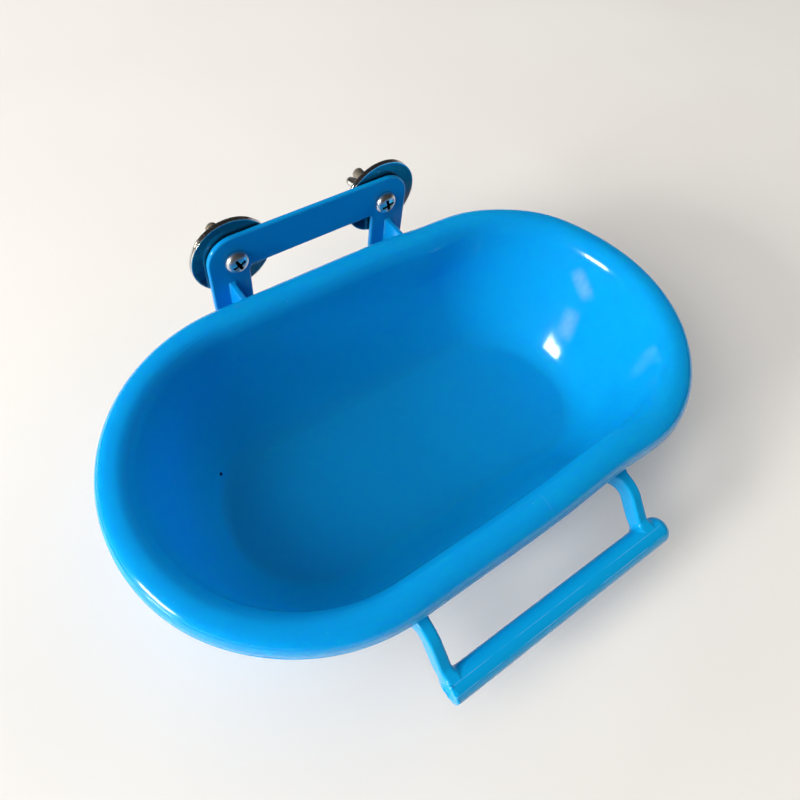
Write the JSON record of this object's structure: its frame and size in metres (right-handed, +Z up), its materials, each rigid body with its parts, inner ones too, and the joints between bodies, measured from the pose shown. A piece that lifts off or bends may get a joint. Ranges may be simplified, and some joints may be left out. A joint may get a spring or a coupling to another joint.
{
  "type": "cage bird bath",
  "caption": "Oval blue plastic bird bath for a wire cage, with a perch bar in front and a hanger bracket whose screws, washers and wing nuts clamp the cage wires.",
  "frame": {"origin": "centre of the tub's flat underside", "axes": "+Z up out of the tub, +X along the tub, +Y towards the cage wires that the bracket clamps"},
  "size_m": [0.192, 0.154, 0.0665],
  "materials": {
    "blue_plastic": "glossy injection-moulded azure blue plastic",
    "polished_steel": "polished nickel-plated steel",
    "plated_steel": "satin zinc-plated steel"
  },
  "bodies": {
    "bath": {"tub": "blue_plastic", "hanger_bracket": "blue_plastic", "perch": "blue_plastic", "left_front_washer": "polished_steel", "right_front_washer": "polished_steel"},
    "left_screw": {"left_screw": "polished_steel"},
    "left_clamp": {"left_rear_washer": "polished_steel"},
    "left_nut": {"left_wing_nut": "plated_steel"},
    "right_screw": {"right_screw": "polished_steel"},
    "right_clamp": {"right_rear_washer": "polished_steel"},
    "right_nut": {"right_wing_nut": "plated_steel"}
  },
  "joints": [
    {"name": "left_screw_turn", "type": "hinge", "parent": "bath", "child": "left_screw", "pos_m": [-0.0278, 0.0625, 0.053], "axis": [0, 1, 0], "continuous": true},
    {"name": "left_washer_slide", "type": "slide", "parent": "left_screw", "child": "left_clamp", "axis": [0, 1, 0], "range_m": [0, 0.0056]},
    {"name": "left_nut_spin", "type": "hinge", "parent": "left_clamp", "child": "left_nut", "pos_m": [-0.0278, 0.0625, 0.053], "axis": [0, 1, 0], "range_deg": [0, 2881]},
    {"name": "right_screw_turn", "type": "hinge", "parent": "bath", "child": "right_screw", "pos_m": [0.0278, 0.0625, 0.053], "axis": [0, 1, 0], "continuous": true},
    {"name": "right_washer_slide", "type": "slide", "parent": "right_screw", "child": "right_clamp", "axis": [0, 1, 0], "range_m": [0, 0.0056]},
    {"name": "right_nut_spin", "type": "hinge", "parent": "right_clamp", "child": "right_nut", "pos_m": [0.0278, 0.0625, 0.053], "axis": [0, 1, 0], "range_deg": [0, 2881]}
  ],
  "couplings": [
    {"joint": "left_nut_spin", "follows": "left_washer_slide", "rad_per_m": 8976},
    {"joint": "right_nut_spin", "follows": "right_washer_slide", "rad_per_m": 8976}
  ]
}
